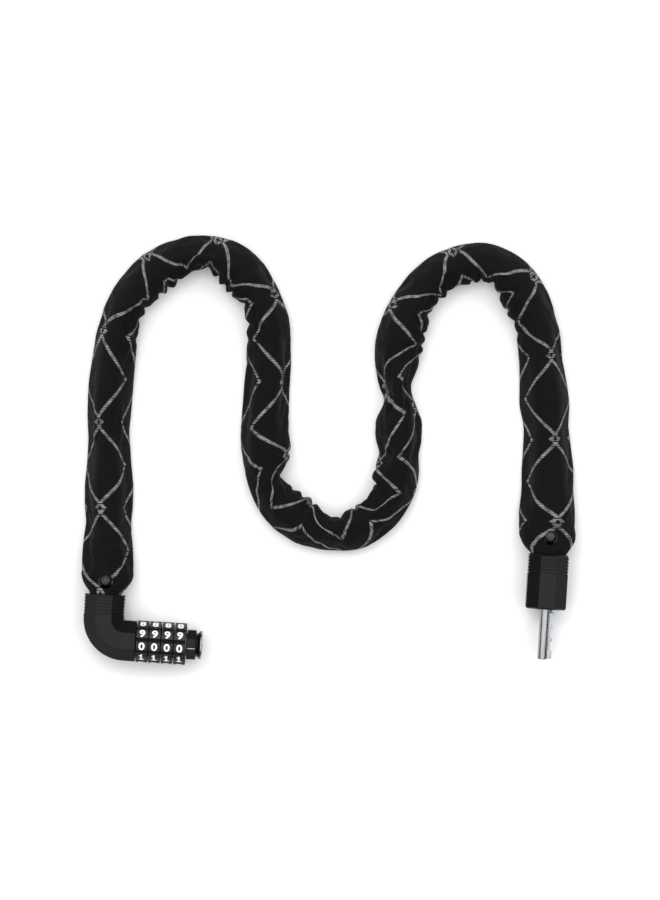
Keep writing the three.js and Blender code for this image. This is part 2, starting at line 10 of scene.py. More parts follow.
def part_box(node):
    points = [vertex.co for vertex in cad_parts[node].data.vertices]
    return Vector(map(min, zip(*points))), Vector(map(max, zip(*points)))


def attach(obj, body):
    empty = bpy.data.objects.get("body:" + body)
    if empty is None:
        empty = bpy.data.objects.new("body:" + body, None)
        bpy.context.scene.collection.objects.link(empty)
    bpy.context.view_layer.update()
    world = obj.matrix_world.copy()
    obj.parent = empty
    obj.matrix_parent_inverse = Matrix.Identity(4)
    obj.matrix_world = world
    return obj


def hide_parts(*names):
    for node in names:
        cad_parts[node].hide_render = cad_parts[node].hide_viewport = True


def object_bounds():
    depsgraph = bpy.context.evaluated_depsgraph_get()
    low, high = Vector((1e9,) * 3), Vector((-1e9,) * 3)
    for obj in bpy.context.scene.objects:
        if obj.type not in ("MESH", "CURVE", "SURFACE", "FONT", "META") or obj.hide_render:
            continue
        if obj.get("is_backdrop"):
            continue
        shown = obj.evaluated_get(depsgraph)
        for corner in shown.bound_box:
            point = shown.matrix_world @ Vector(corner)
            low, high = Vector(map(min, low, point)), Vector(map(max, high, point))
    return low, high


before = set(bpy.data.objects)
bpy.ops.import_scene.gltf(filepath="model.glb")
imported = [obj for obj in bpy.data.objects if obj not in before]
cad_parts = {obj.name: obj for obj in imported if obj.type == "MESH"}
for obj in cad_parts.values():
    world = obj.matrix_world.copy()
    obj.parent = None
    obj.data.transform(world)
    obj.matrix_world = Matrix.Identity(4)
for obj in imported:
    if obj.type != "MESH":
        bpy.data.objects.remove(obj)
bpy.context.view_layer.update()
MM = 0.001

# ---------------------------------------------------------------- table top, camera and light
# The lock lies on a plain white table under two soft lamps and a pale tent, the way small goods
# are set out for a catalogue. The camera hangs above it and looks straight down. A named length is
# in millimetres, unless its comment says metres.
CAMERA_OVER = (-2.7, 86.4)
CAMERA_HEIGHT = 2511.5
CAMERA_ROLL = 3.6
CAMERA_LENS = 181.8              # focal length
TABLE_HALF = 3.0                 # metres from the table's middle to its edge
TABLE_GAP = 0.0002               # metres from the lock's underside down to the table top
LAMP_AIM = (0, 0.09, 0)          # metres


def linear(hex_colour):
    """The linear colour of an sRGB hex value."""
    parts = [int(hex_colour[i:i + 2], 16) / 255 for i in (1, 3, 5)]
    return [p / 12.92 if p <= 0.04045 else ((p + 0.055) / 1.055) ** 2.4 for p in parts] + [1.0]


def add_node(material, kind, inputs=None, **settings):
    """One node in a material, with its settings; an input is a value or another node's socket."""
    made = material.node_tree.nodes.new(kind)
    for name, value in settings.items():
        setattr(made, name, value)
    for name, value in (inputs or {}).items():
        if isinstance(value, bpy.types.NodeSocket):
            material.node_tree.links.new(value, made.inputs[name])
        else:
            made.inputs[name].default_value = value
    return made


def new_material(name):
    made = bpy.data.materials.new(name)
    made.use_nodes = True
    made.node_tree.nodes.clear()
    return made


def finish_material(material, shader):
    output = add_node(material, "ShaderNodeOutputMaterial")
    material.node_tree.links.new(shader.outputs["BSDF"], output.inputs["Surface"])


def new_object(name, mesh, material):
    made = bpy.data.objects.new(name, mesh)
    bpy.context.scene.collection.objects.link(made)
    made.data.materials.append(material)
    return made


camera_data = bpy.data.cameras.new("camera")
camera_data.lens = CAMERA_LENS
camera_data.sensor_width = 36
camera_data.clip_start, camera_data.clip_end = 0.05, 20.0
camera = bpy.data.objects.new("camera", camera_data)
bpy.context.scene.collection.objects.link(camera)
camera.location = (CAMERA_OVER[0] * MM, CAMERA_OVER[1] * MM, CAMERA_HEIGHT * MM)
camera.rotation_euler = (0, 0, math.radians(CAMERA_ROLL))
bpy.context.scene.camera = camera

# satin white laminate: a faint mottle in its gloss, no pattern that draws the eye
laminate = new_material("white_laminate")
mottle = add_node(laminate, "ShaderNodeTexNoise", {
    "Vector": add_node(laminate, "ShaderNodeTexCoord").outputs["Object"], "Scale": 30.0, "Detail": 3.0})
mottle_rough = add_node(laminate, "ShaderNodeMapRange", {
    "Value": mottle.outputs["Fac"], "To Min": 0.62, "To Max": 0.72})
finish_material(laminate, add_node(laminate, "ShaderNodeBsdfPrincipled", {
    "Base Color": linear("#F4F4F4"), "Roughness": mottle_rough.outputs["Result"],
    "Specular IOR Level": 0.25}))
top = bmesh.new()
bmesh.ops.create_grid(top, x_segments=2, y_segments=2, size=TABLE_HALF)
bmesh.ops.translate(top, verts=top.verts, vec=(0, 0, -TABLE_GAP))
top_mesh = bpy.data.meshes.new("table_top")
top.to_mesh(top_mesh)
top.free()
new_object("table_top", top_mesh, laminate)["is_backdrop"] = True

for name, place, size, power in (
        ("softbox_above", (-0.35, 0.7, 1.6), 0.42, 3.0),
        ("softbox_side", (0.9, 0.5, 0.9), 0.5, 1.6)):
    lamp = bpy.data.lights.new(name, "AREA")
    lamp.shape, lamp.size, lamp.energy = "SQUARE", size, power
    lamp_object = bpy.data.objects.new(name, lamp)
    bpy.context.scene.collection.objects.link(lamp_object)
    lamp_object.location = place
    aim = Vector(LAMP_AIM) - Vector(place)
    lamp_object.rotation_euler = aim.to_track_quat("-Z", "Y").to_euler()
# a pale tent overhead that fades to a dim room at table height
room = bpy.data.worlds.new("room")
room.use_nodes = True
upward = add_node(room, "ShaderNodeVectorMath", {
    0: add_node(room, "ShaderNodeTexCoord").outputs["Generated"], 1: (-0.08, 0.24, 0.97)},
    operation="DOT_PRODUCT")
tent = add_node(room, "ShaderNodeMapRange", {
    "Value": upward.outputs["Value"], "From Min": 0.25, "From Max": 0.8, "To Min": 0.04, "To Max": 1.8},
    interpolation_type="SMOOTHSTEP")
room.node_tree.nodes["Background"].inputs["Color"].default_value = linear("#FFFFFF")
room.node_tree.links.new(tent.outputs["Result"], room.node_tree.nodes["Background"].inputs["Strength"])
bpy.context.scene.world = room
bpy.context.scene.view_settings.view_transform = "Standard"

# ---------------------------------------------------------------- sleeve over the chain
# A tube of black woven polyester with grey reflective yarn. It is cut longer than the chain, so it
# bunches up on the inside of each bend. Its two ends are tucked into the heads' mouths.
SLEEVE_ROUTE = [
    (-121.0, -4.3), (-121.0, 2.3), (-121.3, 18), (-122, 36), (-123.2, 56), (-124.6, 78),
    (-125.8, 100), (-125.6, 122), (-123, 145), (-117.4, 162), (-109, 174.5), (-97.5, 183.5),
    (-84, 188.5), (-70, 188), (-57.5, 181.8), (-48.5, 171), (-42, 155), (-39.4, 136),
    (-39.4, 115), (-39.6, 94), (-37.6, 77), (-31.6, 61), (-20, 48.6), (-4, 42.8), (13, 44.2),
    (26, 53.2), (33.4, 68), (35.1, 88), (33.6, 110), (31.4, 130), (31.2, 148), (35.2, 164),
    (43.6, 178.4), (56, 189), (71, 194), (86.5, 190.6), (98.6, 179.6), (107, 162), (112, 139),
    (115.6, 113), (118.4, 86), (120.4, 60), (121.0, 39.7), (121.0, 33.3)]
SLEEVE_AXIS_HEIGHT = 11.5
SLEEVE_ROUND = 72.0              # the fabric tube's flat circumference
SLEEVE_WIDTHS = [                # distance along the route, width as it lies
    (0, 16.4), (4.2, 17), (5.8, 19), (7.5, 23.5), (9.5, 26.6), (12.5, 28.4), (22, 28.6), (32, 27.6),
    (44, 25), (52, 26.6), (64, 27.4), (78, 24.6), (92, 22.8), (104, 24.4), (118, 25), (134, 24),
    (148, 22.8), (160, 20.8), (168, 21.8), (180, 22.8), (190, 24), (198, 23), (206, 20), (213, 18.6),
    (220, 17.6), (226, 21), (236, 24.6), (246, 25), (252, 22.4), (258, 20.2), (266, 22.6), (276, 23.6),
    (290, 24.6), (310, 25.6), (330, 26.6), (342, 27.4), (350, 25), (357, 19.4), (362, 18.6), (370, 22.6),
    (382, 25), (392, 24.2), (402, 18.4), (408, 17.8), (416, 21.6), (426, 22.8), (436, 19.8),
    (446, 21.8), (454, 25), (462, 24.4), (470, 21.6), (478, 26), (488, 26.4), (496, 19), (501, 15.9),
    (508, 18), (518, 24), (532, 26.6), (548, 24.6), (560, 21), (568, 22.8), (580, 20.4), (590, 21.8),
    (602, 21), (612, 20), (622, 24.6), (634, 25.2), (646, 22.8), (656, 24.4), (668, 24), (680, 26.4),
    (692, 28), (704, 24.8), (716, 26.8), (728, 28.8), (740, 29), (750, 31), (760, 31.2), (766, 31),
    (770, 29), (773, 25), (775, 20), (776.5, 17.4), (779, 16.8)]
CROSSINGS = [                    # distance along the route, and the zigzag that crosses there
    (4.6, 0), (52.1, 1), (99.4, 2), (148.1, 3), (174, 3.5), (190, 4), (223.1, 5), (259.1, 6),
    (304.4, 7), (347, 8), (385, 9), (424, 10), (463, 11), (586.5, 14), (625.4, 15),
    (665.4, 16), (711.2, 17), (757.0, 18)]
CROSSING_SIDE = [                # distance along the route, angle round the tube from its left side
    (0, 74), (52, 74), (99, 65), (148, 36), (185, 28), (223, 22), (259, 28), (304, 32), (350, 22),
    (400, 16), (450, 10), (485, 8), (520, 16), (586, 32), (625, 22), (665, 66), (711, 76),
    (757, 77), (779, 77)]
CROSSING_DRIFT = [               # distance along the route, how far the right side's cloth lags
    (0, 0), (300, 0), (350, 10), (500, 12), (560, 2), (600, 0), (779, 0)]
ZIGZAG_PITCH = 47.0
CLOTH_SWELL = 10.0               # the simulation runs ten times larger, where its distances suit
SIM_FRAMES = 22
HELD_END = 6                     # the rings this near an end don't move in the simulation
SMOOTH_END = 9                   # and those this near an end have no folds
FOLD_REACH = 16                  # a fold shapes the rings this near to it along the cloth
FOLD_BEND = 0.006                # folds lie only where the route bends more, in radians to a millimetre
DEEPEST_FOLD = 3.2
CORE_ROUND = 14                  # the chain's stand-in in the simulation: corners round it,
CORE_RINGS = 260                 # rings along it,
CORE_WIDE, CORE_HIGH = 7.4, 7.6  # and its half width and half height
LEAST_HALF = 6.5                 # no half of the sleeve is pulled in past this,
MOST_PULL = 7.0                  # or out by more than this
SLEEVE_FOOT, SLEEVE_TOP = 0.25, 22.8
RAY_START = 24                   # rays look inward for the links from this far out


def smooth_line(points, steps=24):
    """A centripetal Catmull-Rom line through the points."""
    p = np.array(points, float)
    p = np.vstack([2 * p[0] - p[1], p, 2 * p[-1] - p[-2]])
    line = []
    for i in range(1, len(p) - 2):
        p0, p1, p2, p3 = p[i - 1:i + 3]
        d0, d1, d2 = [max(np.sum((b - a) ** 2) ** 0.25, 1e-4)
                      for a, b in ((p0, p1), (p1, p2), (p2, p3))]
        t1 = ((p1 - p0) / d0 - (p2 - p0) / (d0 + d1) + (p2 - p1) / d1) * d1
        t2 = ((p2 - p1) / d1 - (p3 - p1) / (d1 + d2) + (p3 - p2) / d2) * d1
        for k in range(steps):
            t = k / steps
            line.append(p1 + t1 * t + (3 * (p2 - p1) - 2 * t1 - t2) * t ** 2
                        + (2 * (p1 - p2) + t1 + t2) * t ** 3)
    return np.array(line + [p[-2]])


line = smooth_line(SLEEVE_ROUTE)
along_line = np.concatenate([[0], np.cumsum(np.linalg.norm(np.diff(line, axis=0), axis=1))])
ROUTE_LENGTH = along_line[-1]
fine = np.linspace(0, ROUTE_LENGTH, 1600)
fine_x = np.interp(fine, along_line, line[:, 0])
fine_y = np.interp(fine, along_line, line[:, 1])
heading = np.unwrap(np.arctan2(np.gradient(fine_y, fine), np.gradient(fine_x, fine)))
soften = np.hanning(41) / np.hanning(41).sum()
bend = np.convolve(np.pad(np.gradient(heading, fine), 20, mode="edge"), soften, "valid")

# the flat tube: the cloth is longest where the bend is tightest, and is squeezed together there
FLAT_RADIUS = 12.3
spare = 1.03 + 0.85 * FLAT_RADIUS * np.abs(bend)
flat_length = np.concatenate([[0], np.cumsum((spare[1:] + spare[:-1]) / 2 * np.diff(fine))])
AROUND = 44
RINGS = int(flat_length[-1] / 2.5)
ring_flat = np.linspace(0, flat_length[-1], RINGS + 1)
ring_at = np.interp(ring_flat, flat_length, fine)
ring_x, ring_y = np.interp(ring_at, fine, fine_x), np.interp(ring_at, fine, fine_y)
ring_turn, ring_bend = np.interp(ring_at, fine, heading), np.interp(ring_at, fine, bend)
left_x, left_y = -np.sin(ring_turn), np.cos(ring_turn)
angles = np.arange(AROUND) / AROUND * 2 * np.pi

chance = np.random.default_rng(7)
folds, reach = [], 20.0
while reach < flat_length[-1] - 20:
    reach += chance.uniform(9, 17)
    if abs(np.interp(reach, ring_flat, ring_bend)) > FOLD_BEND:
        folds.append((reach, chance.uniform(0.7, 1.25), chance.uniform(-7, 7),
                      chance.uniform(0.75, 1.3), chance.uniform(-0.25, 0.25), chance.uniform(1.8, 3.0)))
from_end = np.minimum(ring_at, ROUTE_LENGTH - ring_at)
wide = np.interp(from_end, [0, 5, 14], [8.2, 8.4, 12.8])
high = np.interp(from_end, [0, 5, 14], [8.0, 8.2, 11.2])
start_places, flat_places = [], []
ridges = np.zeros((RINGS + 1, AROUND))
scale = MM * CLOTH_SWELL
for i in range(RINGS + 1):
    inner = 0.0 if ring_bend[i] > 0 else np.pi
    off = (angles - inner + np.pi) % (2 * np.pi) - np.pi
    strength = np.clip((abs(ring_bend[i]) - 0.004) / 0.014, 0, 1)
    window = np.clip(np.cos(off * 0.62), 0, 1) ** 1.5 * strength
    push, valley = 1.1 * window, np.zeros(AROUND)
    for where, depth, slant, spread, shift, sigma in folds:
        if abs(where - ring_flat[i]) < FOLD_REACH:
            reachround = np.clip(np.cos((off - shift) * 0.62 / spread), 0, 1) ** 1.3
            crease = depth * reachround * np.exp(-((ring_flat[i] - where - slant * off) / sigma) ** 2)
            push = push - 4.2 * strength * crease
            valley = valley + crease
    ridges[i] = window * (1 - np.clip(valley * 1.15, 0, 1))
    push = np.maximum(push, -DEEPEST_FOLD) + chance.uniform(-0.1, 0.1, AROUND)
    if from_end[i] < SMOOTH_END:
        push = np.zeros(AROUND)
    side = (wide[i] + push) * np.cos(angles)
    start_places.append(np.stack([ring_x[i] + left_x[i] * side, ring_y[i] + left_y[i] * side,
                                  SLEEVE_AXIS_HEIGHT + (high[i] + push * 0.7) * np.sin(angles)], 1))
    flat_places.append(np.stack([np.full(AROUND, ring_flat[i]), -FLAT_RADIUS * np.cos(angles),
                                 FLAT_RADIUS * np.sin(angles)], 1))
start_places = np.concatenate(start_places) * scale
flat_places = np.concatenate(flat_places) * scale


def tube_of_faces(lengths, corners):
    """The faces of a tube whose places run ring by ring."""
    return [(i * corners + j, i * corners + (j + 1) % corners,
             (i + 1) * corners + (j + 1) % corners, (i + 1) * corners + j)
            for i in range(lengths) for j in range(corners)]


tube_faces = tube_of_faces(RINGS, AROUND)


def plain_object(name, places, faces):
    mesh = bpy.data.meshes.new(name)
    mesh.from_pydata([tuple(p) for p in places], [], faces)
    made = bpy.data.objects.new(name, mesh)
    bpy.context.scene.collection.objects.link(made)
    return made


def draped_tube():
    """The tube's places after it has settled over the chain, in millimetres."""
    cloth = plain_object("loose_sleeve", start_places, tube_faces)
    cloth.shape_key_add(name="Basis")
    cut = cloth.shape_key_add(name="cut")
    cut.data.foreach_set("co", flat_places.astype(np.float32).ravel())
    cut.value = 0
    held = cloth.vertex_groups.new(name="held")
    held_rings = [i for i in range(RINGS + 1) if from_end[i] < HELD_END]
    held.add([i * AROUND + j for i in held_rings for j in range(AROUND)], 1.0, "REPLACE")
    steps = np.linspace(-2, ROUTE_LENGTH + 2, CORE_RINGS)
    core_x, core_y = np.interp(steps, fine, fine_x), np.interp(steps, fine, fine_y)
    core_y[0] -= 2
    core_y[-1] -= 2
    core_turn = np.interp(steps, fine, heading)
    core_angles = np.arange(CORE_ROUND) / CORE_ROUND * 2 * math.pi
    core_places = [((core_x[i] - math.sin(core_turn[i]) * CORE_WIDE * math.cos(a)) * scale,
                    (core_y[i] + math.cos(core_turn[i]) * CORE_WIDE * math.cos(a)) * scale,
                    (SLEEVE_AXIS_HEIGHT + CORE_HIGH * math.sin(a)) * scale)
                   for i in range(CORE_RINGS) for a in core_angles]
    core = plain_object("chain_core", core_places, tube_of_faces(CORE_RINGS - 1, CORE_ROUND))
    ground = plain_object("ground", [(-3, -3, 0), (3, -3, 0), (3, 4, 0), (-3, 4, 0)], [(0, 1, 2, 3)])
    for solid in (core, ground):
        bpy.context.view_layer.objects.active = solid
        solid.modifiers.new("collision", "COLLISION")
        solid.collision.thickness_outer = 0.004
        solid.collision.cloth_friction = 8
    settle = cloth.modifiers.new("cloth", "CLOTH")
    settings = settle.settings
    settings.quality, settings.mass, settings.air_damping = 6, 0.25, 3
    settings.tension_stiffness = settings.compression_stiffness = 60
    settings.shear_stiffness, settings.bending_stiffness = 15, 0.4
    settings.tension_damping = settings.compression_damping = 8
    settings.shear_damping, settings.bending_damping = 6, 1
    settings.use_pressure, settings.uniform_pressure_force = True, 2.0
    settings.vertex_group_mass = "held"
    settings.rest_shape_key = cut
    settle.collision_settings.distance_min = 0.005
    settle.collision_settings.collision_quality = 2
    settle.point_cache.frame_start, settle.point_cache.frame_end = 1, 60
    for frame_number in range(1, SIM_FRAMES + 1):
        bpy.context.scene.frame_set(frame_number)
    settled = cloth.evaluated_get(bpy.context.evaluated_depsgraph_get()).to_mesh()
    places = np.empty(len(settled.vertices) * 3, np.float32)
    settled.vertices.foreach_get("co", places)
    bpy.context.scene.frame_set(1)
    for used in (cloth, core, ground):
        mesh = used.data
        bpy.data.objects.remove(used)
        bpy.data.meshes.remove(mesh)
    return places.reshape(-1, 3) / scale


places = draped_tube().reshape(RINGS + 1, AROUND, 3)

# pull the settled tube to the width that each stretch of it lies at, and rest it on the table
lateral = ((places[:, :, 0] - ring_x[:, None]) * left_x[:, None]
           + (places[:, :, 1] - ring_y[:, None]) * left_y[:, None])
average = np.hanning(7) / np.hanning(7).sum()
left_half = np.convolve(np.pad(lateral.max(1), 3, mode="edge"), average, "valid")
right_half = np.convolve(np.pad(-lateral.min(1), 3, mode="edge"), average, "valid")
stations, widths = zip(*SLEEVE_WIDTHS)
extra = np.interp(ring_at, stations, widths) - left_half - right_half
inward = 0.5 + 0.42 * np.clip(ring_bend / 0.014, -1, 1)      # the inner side of a bend takes most of it
left_move = np.clip(extra * inward, LEAST_HALF - left_half, MOST_PULL)[:, None]
right_move = np.clip(extra * (1 - inward), LEAST_HALF - right_half, MOST_PULL)[:, None]
moved = left_move * np.clip(lateral / 8.5, 0, 1) - right_move * np.clip(-lateral / 8.5, 0, 1)
places[:, :, 0] += moved * left_x[:, None]
places[:, :, 1] += moved * left_y[:, None]
narrow = np.clip(extra / (left_half + right_half), -0.3, 0.05)[:, None]
places[:, :, 2] = np.maximum(places[:, :, 2] + (places[:, :, 2] - 9.0) * narrow * 0.6 - 0.45,
                             SLEEVE_FOOT)

# no fold may sink into the steel: each spot stays a cloth's thickness outside the links under it
# thinner where it is tucked into the mouths
over_links = np.interp(from_end, [0, 6, 9], [0.35, 0.35, 0.7])[:, None]
RIDGE = 0.6                      # how far the cloth between two folds stands out
chain_corners, chain_faces = [], []
for name in sorted(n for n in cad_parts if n.startswith("link_")):
    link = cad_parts[name].data
    chain_faces += [[len(chain_corners) + v for v in face.vertices] for face in link.polygons]
    chain_corners += [v.co / MM for v in link.vertices]
chain_surface = BVHTree.FromPolygons(chain_corners, chain_faces)
centre = np.stack([ring_x, ring_y, np.full(RINGS + 1, SLEEVE_AXIS_HEIGHT - 0.4)], 1)
spokes = places - centre[:, None, :]
spoke_length = np.linalg.norm(spokes, axis=2)
spokes /= spoke_length[:, :, None]
steel = np.zeros((RINGS + 1, AROUND))
for i in range(RINGS + 1):
    for j in range(AROUND):
        outside = Vector(centre[i] + spokes[i, j] * RAY_START)
        hit = chain_surface.ray_cast(outside, Vector(-spokes[i, j]), RAY_START)[0]
        if hit is not None:
            steel[i, j] = RAY_START - (outside - hit).length
covered = steel.copy()
for turn in (-1, 0, 1):
    for step in (-1, 0, 1):
        beside = np.roll(steel, turn, axis=1)
        covered = np.maximum(covered, np.concatenate(
            [beside[-step:], beside[-1:]]) if step < 0 else np.roll(beside, step, axis=0))
covered = np.where(covered > 0, covered + over_links, 0)
spoke_length = np.maximum(spoke_length, covered)
low_side = np.clip((places[:, :, 2] - 2.0) / 5.0, 0, 1)      # nothing bulges down into the table
spoke_length = spoke_length + RIDGE * ridges * low_side
places = centre[:, None, :] + spokes * spoke_length[:, :, None]
places[:, :, 2] = np.clip(places[:, :, 2], SLEEVE_FOOT, SLEEVE_TOP)

# the inside wall: a plain lining tube a little under the outer one, closed to it at both ends
EVERY = 4
lining_rings = list(range(0, RINGS + 1, EVERY))
if lining_rings[-1] != RINGS:
    lining_rings.append(RINGS)
lining = []
for i in lining_rings:
    nearby = spoke_length[max(0, i - EVERY):i + EVERY + 1].min(0)
    shortest = np.minimum(np.minimum(nearby, np.roll(nearby, 1)), np.roll(nearby, -1))
    over_steel = covered[i] - 0.85 * over_links[i]
    inner_wall = np.minimum(np.maximum(shortest - 0.9, over_steel), spoke_length[i] - 0.3)
    lining.append(centre[i] + spokes[i] * inner_wall[:, None])
lining = np.array(lining)
base = (RINGS + 1) * AROUND
count = len(lining_rings)
lining_faces = [(base + i * AROUND + j, base + (i + 1) * AROUND + j,
                 base + (i + 1) * AROUND + (j + 1) % AROUND, base + i * AROUND + (j + 1) % AROUND)
                for i in range(count - 1) for j in range(AROUND)]
hem_faces = [(j, base + j, base + (j + 1) % AROUND, (j + 1) % AROUND) for j in range(AROUND)]
last, lining_last = RINGS * AROUND, base + (count - 1) * AROUND
hem_faces += [(last + j, last + (j + 1) % AROUND, lining_last + (j + 1) % AROUND, lining_last + j)
              for j in range(AROUND)]
sleeve_places = np.concatenate([places.reshape(-1, 3), lining.reshape(-1, 3)]) * MM
sleeve = plain_object("woven_sleeve", sleeve_places, tube_faces + lining_faces + hem_faces)
sleeve_mesh = sleeve.data

# the weave's own map: across from the column where the zigzags cross, and along the cloth, in
# units of 100 mm
cross_at, cross_number = zip(*CROSSINGS)
cross_flat = np.interp(cross_at, fine, flat_length)
along = np.interp(ring_flat, cross_flat, np.array(cross_number) * ZIGZAG_PITCH)
tail = ring_flat > cross_flat[-1]
along[tail] = cross_number[-1] * ZIGZAG_PITCH + (ring_flat[tail] - cross_flat[-1]) * 0.97
side_at, side_angle = zip(*CROSSING_SIDE)
column = np.radians(np.interp(ring_at, side_at, side_angle))
drift_at, drift_by = zip(*CROSSING_DRIFT)
drift = np.interp(ring_at, drift_at, drift_by)
outer_pull = 0.42 * np.clip((-ring_bend - 0.004) / 0.010, 0, 1)     # taut over an outer edge on the left
weave_map = sleeve_mesh.uv_layers.new(name="weave")
corner_values = np.zeros((len(sleeve_mesh.loops), 2), np.float32)
for number, polygon in enumerate(sleeve_mesh.polygons):
    for corner in polygon.loop_indices:
        vertex = sleeve_mesh.loops[corner].vertex_index
        if vertex < base:
            i, j = divmod(vertex, AROUND)
        else:
            i, j = lining_rings[(vertex - base) // AROUND], (vertex - base) % AROUND
        if j == 0 and number % AROUND == AROUND - 1:
            j = AROUND
        round_by = j / AROUND * 2 * math.pi
        across = round_by - column[i] - outer_pull[i] * math.sin(round_by - column[i])
        lag = drift[i] * (1 - math.cos(round_by)) / 2
        corner_values[corner] = (across / (2 * math.pi) * SLEEVE_ROUND / 100, (along[i] - lag) / 100)
weave_map.data.foreach_set("uv", corner_values.ravel())
sleeve_mesh.polygons.foreach_set("use_smooth", [True] * len(sleeve_mesh.polygons))
round_off = sleeve.modifiers.new("round_off", "SUBSURF")
round_off.levels = round_off.render_levels = 1

# woven polyester: matt near-black with ribs across the tube, and grey reflective yarn in
# short floats that reads as broken zigzag lines; the ribs are 1.3 mm apart, drawn coarser than
# such cloth has them so that they show
polyester = new_material("woven_polyester")
weave = add_node(polyester, "ShaderNodeSeparateXYZ", {
    "Vector": add_node(polyester, "ShaderNodeUVMap", uv_map="weave").outputs["UV"]})
object_place = add_node(polyester, "ShaderNodeTexCoord").outputs["Object"]
across_mm = add_node(polyester, "ShaderNodeMath", {
    0: weave.outputs["X"], 1: 100.0}, operation="MULTIPLY").outputs[0]
along_mm = add_node(polyester, "ShaderNodeMath", {
    0: weave.outputs["Y"], 1: 100.0}, operation="MULTIPLY").outputs[0]
folded = add_node(polyester, "ShaderNodeMath", {
    0: across_mm, 1: SLEEVE_ROUND / 2}, operation="PINGPONG").outputs[0]
from_back = add_node(polyester, "ShaderNodeMath", {
    0: SLEEVE_ROUND / 2, 1: folded}, operation="SUBTRACT").outputs[0]
zigzag_run = add_node(polyester, "ShaderNodeMath", {
    0: along_mm, 1: 2 / ZIGZAG_PITCH}, operation="MULTIPLY").outputs[0]
zigzag = add_node(polyester, "ShaderNodeMath", {
    0: zigzag_run, 1: 1.0}, operation="PINGPONG").outputs[0]
# four zigzags: a mirrored pair that crosses on the column, and a mirrored pair at the back
nearest = None
for place, swing, start in ((folded, 22.4, -2.4), (folded, -22.4, 2.4),
                            (from_back, -22.4, 20.0), (from_back, 22.4, -20.0)):
    line_place = add_node(polyester, "ShaderNodeMath", {
        0: zigzag, 1: swing, 2: start}, operation="MULTIPLY_ADD").outputs[0]
    apart = add_node(polyester, "ShaderNodeMath", {
        0: place, 1: line_place}, operation="SUBTRACT").outputs[0]
    away = add_node(polyester, "ShaderNodeMath", {0: apart}, operation="ABSOLUTE").outputs[0]
    nearest = away if nearest is None else add_node(polyester, "ShaderNodeMath", {
        0: nearest, 1: away}, operation="MINIMUM").outputs[0]
on_line = add_node(polyester, "ShaderNodeMapRange", {
    "Value": nearest, "From Min": 0.95, "From Max": 1.3, "To Min": 1.0, "To Max": 0.0},
    interpolation_type="SMOOTHSTEP").outputs["Result"]
from_middle = add_node(polyester, "ShaderNodeMath", {
    0: zigzag, 1: 0.5}, operation="SUBTRACT").outputs[0]
tip_place = add_node(polyester, "ShaderNodeMath", {0: from_middle}, operation="ABSOLUTE").outputs[0]
float_run = add_node(polyester, "ShaderNodeMath", {0: along_mm, 1: 1.45}, operation="PINGPONG").outputs[0]
float_gap = add_node(polyester, "ShaderNodeMapRange", {
    "Value": float_run, "From Min": 0.2, "From Max": 0.42, "To Min": 1.0, "To Max": 0.0},
    interpolation_type="SMOOTHSTEP").outputs["Result"]
gap_near_tip = add_node(polyester, "ShaderNodeMapRange", {
    "Value": tip_place, "From Min": 0.3, "From Max": 0.34, "To Max": float_gap},
    interpolation_type="SMOOTHSTEP").outputs["Result"]
floats = add_node(polyester, "ShaderNodeMath", {
    0: on_line, 1: gap_near_tip}, operation="SUBTRACT", use_clamp=True).outputs[0]
rib = add_node(polyester, "ShaderNodeMath", {0: along_mm, 1: 0.65}, operation="PINGPONG").outputs[0]
rib_light = add_node(polyester, "ShaderNodeMapRange", {
    "Value": rib, "From Min": 0.1, "From Max": 0.4, "To Min": 0.45, "To Max": 1.0}).outputs["Result"]
yarn = add_node(polyester, "ShaderNodeMath", {0: across_mm, 1: 0.45}, operation="PINGPONG").outputs[0]
worn = add_node(polyester, "ShaderNodeTexNoise", {
    "Vector": object_place, "Scale": 330.0, "Detail": 4.0}).outputs["Fac"]
worn_light = add_node(polyester, "ShaderNodeMapRange", {
    "Value": worn, "From Min": 0.34, "From Max": 0.6, "To Min": 0.3, "To Max": 1.0}).outputs["Result"]
ribbed_floats = add_node(polyester, "ShaderNodeMath", {
    0: floats, 1: rib_light}, operation="MULTIPLY").outputs[0]
reflective = add_node(polyester, "ShaderNodeMath", {
    0: ribbed_floats, 1: worn_light}, operation="MULTIPLY").outputs[0]
shade = add_node(polyester, "ShaderNodeTexNoise", {
    "Vector": object_place, "Scale": 90.0, "Detail": 5.0, "Roughness": 0.6}).outputs["Fac"]
cloth_shade = add_node(polyester, "ShaderNodeMix", {
    0: shade, 6: linear("#020203"), 7: linear("#09090B")}, data_type="RGBA")
rib_shade = add_node(polyester, "ShaderNodeMix", {
    0: rib, 6: cloth_shade.outputs[2], 7: linear("#18181B")}, data_type="RGBA")
colour = add_node(polyester, "ShaderNodeMix", {
    0: reflective, 6: rib_shade.outputs[2], 7: linear("#8C8C8E")}, data_type="RGBA")
creases = add_node(polyester, "ShaderNodeTexNoise", {
    "Vector": object_place, "Scale": 75.0, "Detail": 3.0, "Distortion": 0.6}).outputs["Fac"]
rib_height = add_node(polyester, "ShaderNodeMath", {0: rib, 1: 0.55}, operation="MULTIPLY").outputs[0]
yarn_height = add_node(polyester, "ShaderNodeMath", {
    0: yarn, 1: 0.3, 2: rib_height}, operation="MULTIPLY_ADD").outputs[0]
thread_height = add_node(polyester, "ShaderNodeMath", {
    0: reflective, 1: 0.35, 2: yarn_height}, operation="MULTIPLY_ADD").outputs[0]
crease_bump = add_node(polyester, "ShaderNodeBump", {
    "Height": creases, "Strength": 0.5, "Distance": 0.0016})
thread_bump = add_node(polyester, "ShaderNodeBump", {
    "Height": thread_height, "Strength": 0.75, "Distance": 0.0005,
    "Normal": crease_bump.outputs["Normal"]})
cloth_rough = add_node(polyester, "ShaderNodeMapRange", {
    "Value": reflective, "To Min": 0.86, "To Max": 0.5}).outputs["Result"]
